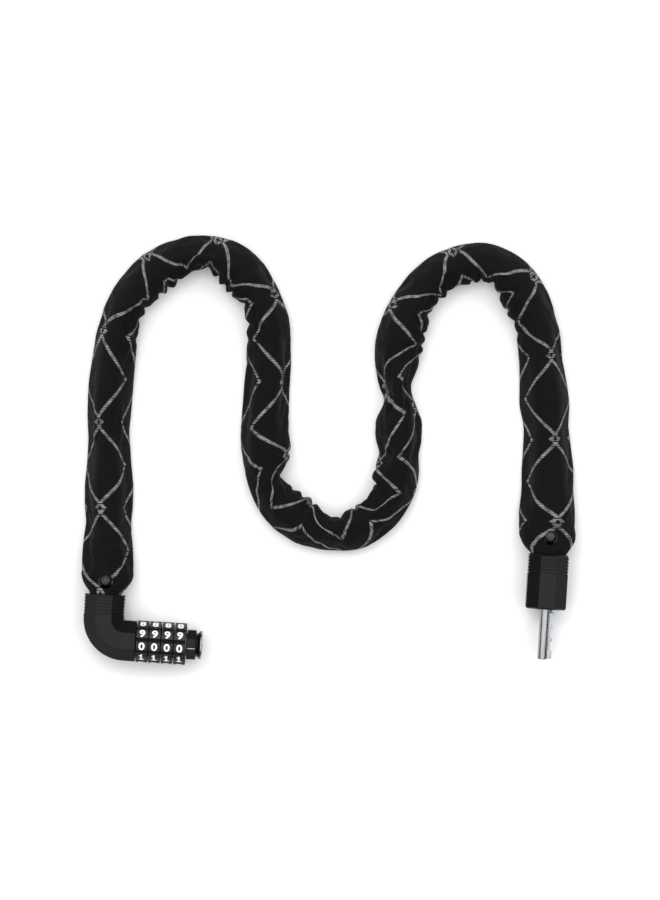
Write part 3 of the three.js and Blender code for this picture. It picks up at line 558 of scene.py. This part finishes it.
finish_material(polyester, add_node(polyester, "ShaderNodeBsdfPrincipled", {
    "Base Color": colour.outputs[2], "Roughness": cloth_rough, "Specular IOR Level": 0.1,
    "Sheen Weight": 0.03, "Sheen Roughness": 0.45, "Normal": thread_bump.outputs["Normal"]}))
sleeve.data.materials.append(polyester)
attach(sleeve, "chain")
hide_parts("sleeve")

# ---------------------------------------------------------------- chain and the pins it hangs on
# Welded links of hardened steel run the whole length of the sleeve, and the end links hang on
# upright pins inside the heads. The steel is dull grey from the quench, with a darker oxide.
quenched = new_material("quenched_steel")
quench_place = add_node(quenched, "ShaderNodeTexCoord").outputs["Object"]
oxide = add_node(quenched, "ShaderNodeTexNoise", {"Vector": quench_place, "Scale": 220.0, "Detail": 5.0})
oxide_shade = add_node(quenched, "ShaderNodeMix", {
    0: oxide.outputs["Fac"], 6: linear("#4A4B4E"), 7: linear("#8B8C8F")}, data_type="RGBA")
oxide_rough = add_node(quenched, "ShaderNodeMapRange", {
    "Value": oxide.outputs["Fac"], "To Min": 0.5, "To Max": 0.32})
oxide_bump = add_node(quenched, "ShaderNodeBump", {
    "Height": oxide.outputs["Fac"], "Strength": 0.3, "Distance": 0.0002})
finish_material(quenched, add_node(quenched, "ShaderNodeBsdfPrincipled", {
    "Base Color": oxide_shade.outputs[2], "Metallic": 1.0,
    "Roughness": oxide_rough.outputs["Result"], "Normal": oxide_bump.outputs["Normal"]}))


def finish_nodes(material, *names):
    """Gives CAD nodes a better material in the slots they have."""
    for name in names:
        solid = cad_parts[name]
        if not solid.material_slots:
            solid.data.materials.append(material)
        for material_slot in solid.material_slots:
            material_slot.material = material


link_names = sorted(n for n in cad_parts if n.startswith("link_"))
finish_nodes(quenched, *link_names, "lock_anchor_pin", "pin_anchor_pin", "core_key_pin",
             "pin_key_pin", "reset_spring", "wave_washer")

# ---------------------------------------------------------------- rivets at the sleeve's ends
# A black-nickel-plated tubular rivet goes through the sleeve and the end link, and is rolled
# over into a low dome top and bottom. The plating is dark grey, tarnished in random patches.
RIVET_HEAD = 4.6
RIVET_CROWN = 3.5
RIVET_SHANK = 1.3


def turned(profile, axis_point, axis, closed=False, steps=48):
    """A shape spun round an axis from (radius, distance) pairs; a closed profile makes a ring."""
    shape = bmesh.new()
    side = Vector((1, 0, 0)) if abs(axis.x) < 0.5 else Vector((0, 0, 1))
    chain = [shape.verts.new(axis_point + side * r * MM + axis * d * MM) for r, d in profile]
    edges = [shape.edges.new(pair) for pair in zip(chain, chain[1:] + (chain[:1] if closed else []))]
    bmesh.ops.spin(shape, geom=chain + edges, cent=axis_point, axis=axis, angle=2 * math.pi,
                   steps=steps, use_merge=True)
    bmesh.ops.remove_doubles(shape, verts=shape.verts, dist=1e-6)
    bmesh.ops.recalc_face_normals(shape, faces=shape.faces)
    return shape


def shaded(name, shape, material, sharp=35):
    mesh = bpy.data.meshes.new(name)
    shape.to_mesh(mesh)
    shape.free()
    mesh.polygons.foreach_set("use_smooth", [True] * len(mesh.polygons))
    mesh.set_sharp_from_angle(angle=math.radians(sharp))
    return new_object(name, mesh, material)


nickel = new_material("worn_nickel_plate")
nickel_place = add_node(nickel, "ShaderNodeTexCoord").outputs["Object"]
tarnish = add_node(nickel, "ShaderNodeTexNoise", {"Vector": nickel_place, "Scale": 420.0, "Detail": 4.0})
tarnish_shade = add_node(nickel, "ShaderNodeMix", {
    0: tarnish.outputs["Fac"], 6: linear("#1A1817"), 7: linear("#4E4A46")}, data_type="RGBA")
tarnish_rough = add_node(nickel, "ShaderNodeMapRange", {
    "Value": tarnish.outputs["Fac"], "To Min": 0.26, "To Max": 0.12})
dents = add_node(nickel, "ShaderNodeTexNoise", {"Vector": nickel_place, "Scale": 700.0, "Detail": 2.0})
dent_bump = add_node(nickel, "ShaderNodeBump", {
    "Height": dents.outputs["Fac"], "Strength": 0.2, "Distance": 0.0003})
finish_material(nickel, add_node(nickel, "ShaderNodeBsdfPrincipled", {
    "Base Color": tarnish_shade.outputs[2], "Metallic": 1.0,
    "Roughness": tarnish_rough.outputs["Result"], "Normal": dent_bump.outputs["Normal"]}))
for node_name in ("lock_rivet", "pin_rivet"):
    low, high_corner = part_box(node_name)
    foot = Vector(((low.x + high_corner.x) / 2, (low.y + high_corner.y) / 2, low.z))
    tall = (high_corner.z - low.z) / MM
    dome_radius = (RIVET_HEAD ** 2 + RIVET_CROWN ** 2) / (2 * RIVET_CROWN)
    dome = [(dome_radius * math.sin(a), dome_radius * (1 - math.cos(a)))
            for a in np.linspace(0, math.asin(RIVET_HEAD / dome_radius), 9)]
    dome += [(RIVET_HEAD - 0.35, RIVET_CROWN + 0.3), (RIVET_SHANK + 0.4, RIVET_CROWN + 0.3),
             (RIVET_SHANK, RIVET_CROWN + 0.7)]
    profile = dome + [(r, tall - d) for r, d in reversed(dome)]
    rivet = shaded(node_name + "_turned", turned(profile, foot, Vector((0, 0, 1))), nickel)
    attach(rivet, "chain")
    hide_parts(node_name)

# ---------------------------------------------------------------- lock body
# The elbow is one moulding of black glass-filled nylon with an octagonal section and fine rings
# round the mouth. It takes the sleeve at one end and carries the dials at the other.
nylon = new_material("moulded_black_nylon")
nylon_place = add_node(nylon, "ShaderNodeTexCoord").outputs["Object"]
texture = add_node(nylon, "ShaderNodeTexNoise", {"Vector": nylon_place, "Scale": 1600.0, "Detail": 3.0})
flow = add_node(nylon, "ShaderNodeTexNoise", {"Vector": nylon_place, "Scale": 60.0, "Detail": 3.0})
flow_shade = add_node(nylon, "ShaderNodeMix", {
    0: flow.outputs["Fac"], 6: linear("#040405"), 7: linear("#0A0A0C")}, data_type="RGBA")
flow_rough = add_node(nylon, "ShaderNodeMapRange", {
    "Value": flow.outputs["Fac"], "To Min": 0.24, "To Max": 0.36})
nylon_edge = add_node(nylon, "ShaderNodeBevel", {"Radius": 0.00035}, samples=6)
nylon_bump = add_node(nylon, "ShaderNodeBump", {
    "Height": texture.outputs["Fac"], "Strength": 0.22, "Distance": 0.0002,
    "Normal": nylon_edge.outputs["Normal"]})
finish_material(nylon, add_node(nylon, "ShaderNodeBsdfPrincipled", {
    "Base Color": flow_shade.outputs[2], "Roughness": flow_rough.outputs["Result"],
    "IOR": 1.53, "Specular IOR Level": 0.19, "Normal": nylon_bump.outputs["Normal"]}))
finish_nodes(nylon, "lock_body", "pin_shell")

# ---------------------------------------------------------------- dials
# Four rings of black plastic turn on the barrel, each with ten finger pads. A digit is printed
# in white on every pad, and the grooves between the pads give the finger its grip.
DIAL_COUNT = 4
BARREL_AXIS = Vector((0, -25.2 * MM, 11.5 * MM))
DIAL_RADIUS = 11.5
DIAL_ROLL = 11.0
DIGIT_HEIGHT = 4.4
dial_plastic = new_material("moulded_black_abs")
dial_place = add_node(dial_plastic, "ShaderNodeTexCoord").outputs["Object"]
handling = add_node(dial_plastic, "ShaderNodeTexNoise", {
    "Vector": dial_place, "Scale": 300.0, "Detail": 4.0})
handling_shade = add_node(dial_plastic, "ShaderNodeMix", {
    0: handling.outputs["Fac"], 6: linear("#070709"), 7: linear("#101114")}, data_type="RGBA")
handling_rough = add_node(dial_plastic, "ShaderNodeMapRange", {
    "Value": handling.outputs["Fac"], "To Min": 0.3, "To Max": 0.46})
# the groove floors between the pads lie nearer the barrel's axis and get a near-black colour: painted
# shade in the grooves
from_axis = add_node(dial_plastic, "ShaderNodeVectorMath", {
    0: add_node(dial_plastic, "ShaderNodeVectorMath", {0: dial_place, 1: tuple(BARREL_AXIS)},
                operation="SUBTRACT").outputs["Vector"], 1: (0, 1, 1)}, operation="MULTIPLY")
out_from_axis = add_node(dial_plastic, "ShaderNodeVectorMath", {0: from_axis.outputs["Vector"]},
                         operation="LENGTH")
on_pad = add_node(dial_plastic, "ShaderNodeMapRange", {
    "Value": out_from_axis.outputs["Value"], "From Min": 0.0106, "From Max": 0.0112})
painted_groove_shade = add_node(dial_plastic, "ShaderNodeMix", {
    0: on_pad.outputs["Result"], 6: linear("#040405"), 7: handling_shade.outputs[2]}, data_type="RGBA")
groove_rough = add_node(dial_plastic, "ShaderNodeMapRange", {
    "Value": on_pad.outputs["Result"], "To Min": 0.95, "To Max": handling_rough.outputs["Result"]})
dial_edge = add_node(dial_plastic, "ShaderNodeBevel", {"Radius": 0.0003}, samples=6)
dial_grain = add_node(dial_plastic, "ShaderNodeTexNoise", {
    "Vector": dial_place, "Scale": 1800.0, "Detail": 2.0})
dial_bump = add_node(dial_plastic, "ShaderNodeBump", {
    "Height": dial_grain.outputs["Fac"], "Strength": 0.12, "Distance": 0.0002,
    "Normal": dial_edge.outputs["Normal"]})
finish_material(dial_plastic, add_node(dial_plastic, "ShaderNodeBsdfPrincipled", {
    "Base Color": painted_groove_shade.outputs[2], "Roughness": groove_rough.outputs["Result"],
    "IOR": 1.52, "Specular IOR Level": 0.36, "Normal": dial_bump.outputs["Normal"]}))
finish_nodes(dial_plastic, *[f"dial_{i}" for i in range(1, DIAL_COUNT + 1)])

# white pad-printing ink: opaque, with a slight fall-off where fingers rub it
ink = new_material("white_pad_ink")
rubbed = add_node(ink, "ShaderNodeTexNoise", {
    "Vector": add_node(ink, "ShaderNodeTexCoord").outputs["Object"], "Scale": 900.0, "Detail": 3.0})
ink_shade = add_node(ink, "ShaderNodeMix", {
    0: rubbed.outputs["Fac"], 6: linear("#DADADA"), 7: linear("#FAFAFA")}, data_type="RGBA")
ink_rough = add_node(ink, "ShaderNodeMapRange", {
    "Value": rubbed.outputs["Fac"], "To Min": 0.4, "To Max": 0.55})
finish_material(ink, add_node(ink, "ShaderNodeBsdfPrincipled", {
    "Base Color": ink_shade.outputs[2], "Roughness": ink_rough.outputs["Result"],
    "Specular IOR Level": 0.3}))


def digit_shape(digit):
    """A bold digit in millimetres, centred, cut into strips so that it can follow the pad's curve."""
    letters = bpy.data.curves.new("digit", "FONT")
    letters.body, letters.size, letters.offset, letters.extrude = digit, 1.0, 0.032, 0.03
    letters.resolution_u = 4
    holder = bpy.data.objects.new("digit", letters)
    bpy.context.scene.collection.objects.link(holder)
    flat = bpy.data.meshes.new_from_object(
        holder.evaluated_get(bpy.context.evaluated_depsgraph_get()))
    bpy.data.objects.remove(holder)
    bpy.data.curves.remove(letters)
    shape = bmesh.new()
    shape.from_mesh(flat)
    bpy.data.meshes.remove(flat)
    bmesh.ops.remove_doubles(shape, verts=shape.verts, dist=1e-5)
    xs, ys = [v.co.x for v in shape.verts], [v.co.y for v in shape.verts]
    size = DIGIT_HEIGHT / (max(ys) - min(ys))
    bmesh.ops.translate(shape, verts=shape.verts,
                        vec=(-(max(xs) + min(xs)) / 2, -(max(ys) + min(ys)) / 2, 0))
    bmesh.ops.scale(shape, verts=shape.verts, vec=(size * 1.16, size, 2.0))
    if digit == "1":
        for centre_x, centre_y, wide, tall in ((0.1, -1.66, 2.7, 0.7), (-0.8, 1.25, 0.95, 0.6)):
            bar = bmesh.ops.create_cube(shape, size=1.0)["verts"]
            bmesh.ops.scale(shape, verts=bar, vec=(wide, tall, 0.12))
            bmesh.ops.translate(shape, verts=bar, vec=(centre_x, centre_y, 0))
    for height in (-1.5, -0.9, -0.3, 0.3, 0.9, 1.5):
        bmesh.ops.bisect_plane(shape, geom=shape.verts[:] + shape.edges[:] + shape.faces[:],
                               dist=1e-4, plane_co=(0, height, 0), plane_no=(0, 1, 0))
    return shape


digit_shapes = [digit_shape(str(n)) for n in range(10)]
for number in range(1, DIAL_COUNT + 1):
    low, high_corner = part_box(f"dial_{number}")
    middle = (low.x + high_corner.x) / 2
    digits = bmesh.new()
    for value, shape in enumerate(digit_shapes):
        copy = bpy.data.meshes.new("digit_copy")
        shape.to_mesh(copy)
        first = len(digits.verts)
        digits.from_mesh(copy)
        bpy.data.meshes.remove(copy)
        digits.verts.ensure_lookup_table()
        for vertex in digits.verts[first:]:
            x, y, z = vertex.co
            lean = math.radians(DIAL_ROLL + 36 * value) - y / DIAL_RADIUS
            out = (DIAL_RADIUS + z) * MM
            vertex.co = (middle + x * MM, BARREL_AXIS.y - math.sin(lean) * out,
                         BARREL_AXIS.z + math.cos(lean) * out)
    bmesh.ops.recalc_face_normals(digits, faces=digits.faces)
    printed = shaded(f"dial_{number}_digits", digits, ink)
    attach(printed, f"dial_{number}_body")
for shape in digit_shapes:
    shape.free()

# ---------------------------------------------------------------- end collar and reset ring
# A small octagonal collar of the same plastic closes the barrel and carries the index line that the
# code is read at. Beyond it sits the flared reset ring, a chromed zinc casting.
finish_nodes(nylon, "end_collar")
low, high_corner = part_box("end_collar")
mark = bmesh.new()
bmesh.ops.create_cube(mark, size=1.0)
bmesh.ops.scale(mark, verts=mark.verts, vec=(4.3 * MM, 0.26 * MM, 0.24 * MM))
bmesh.ops.bevel(mark, geom=mark.edges[:], offset=0.06 * MM, offset_type="OFFSET", segments=2,
                profile=0.5, affect="EDGES", material=-1, clamp_overlap=True)
bmesh.ops.translate(mark, verts=mark.verts,
                    vec=((low.x + high_corner.x) / 2, BARREL_AXIS.y - 1.9 * MM, high_corner.z + 0.02 * MM))
index_line = shaded("index_line", mark, ink)
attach(index_line, "lock_head")

chrome = new_material("bright_chrome")
chrome_place = add_node(chrome, "ShaderNodeTexCoord").outputs["Object"]
haze = add_node(chrome, "ShaderNodeTexNoise", {"Vector": chrome_place, "Scale": 350.0, "Detail": 4.0})
haze_rough = add_node(chrome, "ShaderNodeMapRange", {
    "Value": haze.outputs["Fac"], "To Min": 0.08, "To Max": 0.2})
haze_shade = add_node(chrome, "ShaderNodeMix", {
    0: haze.outputs["Fac"], 6: linear("#85888C"), 7: linear("#ABADB0")}, data_type="RGBA")
finish_material(chrome, add_node(chrome, "ShaderNodeBsdfPrincipled", {
    "Base Color": haze_shade.outputs[2], "Metallic": 1.0, "Roughness": haze_rough.outputs["Result"]}))
low, high_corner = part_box("reset_ring")
nose_end = high_corner.x / MM
waist_start = nose_end - 3.1
ring_bore = 5.2
barrel = Vector((0, BARREL_AXIS.y, BARREL_AXIS.z))
flare = [(ring_bore, -2), (5.9, -2), (5.9, 0), (6.9, 0.05), (6.5, 0.45), (6.45, 0.75), (6.7, 1.0),
         (7.25, 1.35), (7.75, 1.9), (7.8, 2.15), (ring_bore, 2.15)]
waist = shaded("reset_waist", turned([(r, waist_start + d) for r, d in flare], barrel,
                                     Vector((1, 0, 0)), closed=True, steps=72), nylon)
rim = [(ring_bore, -0.88), (7.7, -0.88), (7.9, -0.75), (7.9, -0.32), (7.82, -0.12), (7.6, 0), (7.0, 0),
       (6.75, -0.12), (6.6, -0.35), (5.6, -0.4), (ring_bore, -0.6)]
disc = shaded("reset_disc", turned([(r, nose_end + d) for r, d in rim], barrel,
                                   Vector((1, 0, 0)), closed=True, steps=72), chrome)
for piece in (waist, disc):
    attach(piece, "reset_body")
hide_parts("reset_ring")

# ---------------------------------------------------------------- steel pin
# The pin is turned from bright steel bar and its row of teeth is milled along one side. It is
# pressed into the pin head and pushes through the dials when the lock is shut.
pin_steel = new_material("ground_bright_steel")
pin_place = add_node(pin_steel, "ShaderNodeTexCoord").outputs["Object"]
stretched = add_node(pin_steel, "ShaderNodeMapping", {
    "Vector": pin_place, "Scale": (1.0, 0.12, 1.0)})
grinding = add_node(pin_steel, "ShaderNodeTexNoise", {
    "Vector": stretched.outputs["Vector"], "Scale": 1500.0, "Detail": 3.0})
grinding_shade = add_node(pin_steel, "ShaderNodeMix", {
    0: grinding.outputs["Fac"], 6: linear("#7E8286"), 7: linear("#B2B5B8")}, data_type="RGBA")
grinding_rough = add_node(pin_steel, "ShaderNodeMapRange", {
    "Value": grinding.outputs["Fac"], "To Min": 0.16, "To Max": 0.3})
grinding_bump = add_node(pin_steel, "ShaderNodeBump", {
    "Height": grinding.outputs["Fac"], "Strength": 0.15, "Distance": 0.0001})
finish_material(pin_steel, add_node(pin_steel, "ShaderNodeBsdfPrincipled", {
    "Base Color": grinding_shade.outputs[2], "Metallic": 1.0,
    "Roughness": grinding_rough.outputs["Result"], "Normal": grinding_bump.outputs["Normal"]}))
PIN_RADIUS = 2.8
PIN_FLANGE = 6.0
TOOTH_TIP = 4.8
RIB_TOP = 3.75
low, high_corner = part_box("lock_pin")
pin_top = Vector(((low.x + high_corner.x) / 2, high_corner.y, (low.z + high_corner.z) / 2))
reach_down = (high_corner.y - low.y) / MM
pin = turned([(0, 0), (PIN_FLANGE, 0), (PIN_FLANGE, 2), (PIN_RADIUS, 2), (PIN_RADIUS, reach_down - 0.8),
              (PIN_RADIUS - 0.2, reach_down - 0.3), (PIN_RADIUS - 0.7, reach_down), (0, reach_down)],
             pin_top, Vector((0, -1, 0)), steps=64)
# the tip tooth, three more one dial apart, and the low rib that they stand on
for start, length, side, thick in ((0.7, 4.6, TOOTH_TIP, 3.0), (10.2, 2.0, TOOTH_TIP, 3.0),
                                   (17.1, 2.0, TOOTH_TIP, 3.0), (24.0, 2.0, TOOTH_TIP, 3.0),
                                   (0.9, 28.0, RIB_TOP, 2.2)):
    block = bmesh.new()
    bmesh.ops.create_cube(block, size=1.0)
    bmesh.ops.scale(block, verts=block.verts, vec=((side - 1.4) * MM, length * MM, thick * MM))
    bmesh.ops.translate(block, verts=block.verts, vec=(
        pin_top.x + (side + 1.4) / 2 * MM, low.y + (start + length / 2) * MM, pin_top.z))
    bmesh.ops.bevel(block, geom=block.edges[:], offset=0.28 * MM, offset_type="OFFSET", segments=2,
                    profile=0.5, affect="EDGES", material=-1, clamp_overlap=True)
    beside_rod = bpy.data.meshes.new("tooth")
    block.to_mesh(beside_rod)
    block.free()
    pin.from_mesh(beside_rod)
    bpy.data.meshes.remove(beside_rod)
toothed_pin = shaded("toothed_pin", pin, pin_steel)
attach(toothed_pin, "pin_head")
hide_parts("lock_pin")

# ---------------------------------------------------------------- brass inside the barrel
# A slotted brass tube guides the pin, and a notched brass ring sits in each dial. The tube is
# machined from bar, and its colour is a dark brown: painted shade for the gaps between the dials
# where it shows. The rings are painted near-black: painted shade in place of their glints in those gaps.
brass = new_material("machined_brass")
turning = add_node(brass, "ShaderNodeTexNoise", {
    "Vector": add_node(brass, "ShaderNodeTexCoord").outputs["Object"], "Scale": 800.0, "Detail": 3.0})
# dark brown colour: painted shade, since the tube is seen only in the shaded gaps between the dials
brass_painted_shade = add_node(brass, "ShaderNodeMix", {
    0: turning.outputs["Fac"], 6: linear("#1E1810"), 7: linear("#342A1A")}, data_type="RGBA")
brass_rough = add_node(brass, "ShaderNodeMapRange", {
    "Value": turning.outputs["Fac"], "To Min": 0.22, "To Max": 0.36})
finish_material(brass, add_node(brass, "ShaderNodeBsdfPrincipled", {
    "Base Color": brass_painted_shade.outputs[2], "Metallic": 1.0, "Roughness": brass_rough.outputs["Result"]}))
finish_nodes(brass, "core_tube")
# brass painted matt brown-black, painted shade for the gaps between the dials, a little lighter in random
# patches
shade_dark_brass = new_material("brass_painted_dark")
rubbing = add_node(shade_dark_brass, "ShaderNodeTexNoise", {
    "Vector": add_node(shade_dark_brass, "ShaderNodeTexCoord").outputs["Object"], "Scale": 500.0, "Detail": 4.0})
# near-black colour: painted shade for the gaps between the dials where the rings show
ring_painted_shade = add_node(shade_dark_brass, "ShaderNodeMix", {
    0: rubbing.outputs["Fac"], 6: linear("#080706"), 7: linear("#191612")}, data_type="RGBA")
shade_dark_rough = add_node(shade_dark_brass, "ShaderNodeMapRange", {
    "Value": rubbing.outputs["Fac"], "To Min": 0.62, "To Max": 0.45})
finish_material(shade_dark_brass, add_node(shade_dark_brass, "ShaderNodeBsdfPrincipled", {
    "Base Color": ring_painted_shade.outputs[2], "Metallic": 0.6,
    "Roughness": shade_dark_rough.outputs["Result"]}))
finish_nodes(shade_dark_brass, *[f"code_ring_{i}" for i in range(1, DIAL_COUNT + 1)])

low, high_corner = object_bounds()
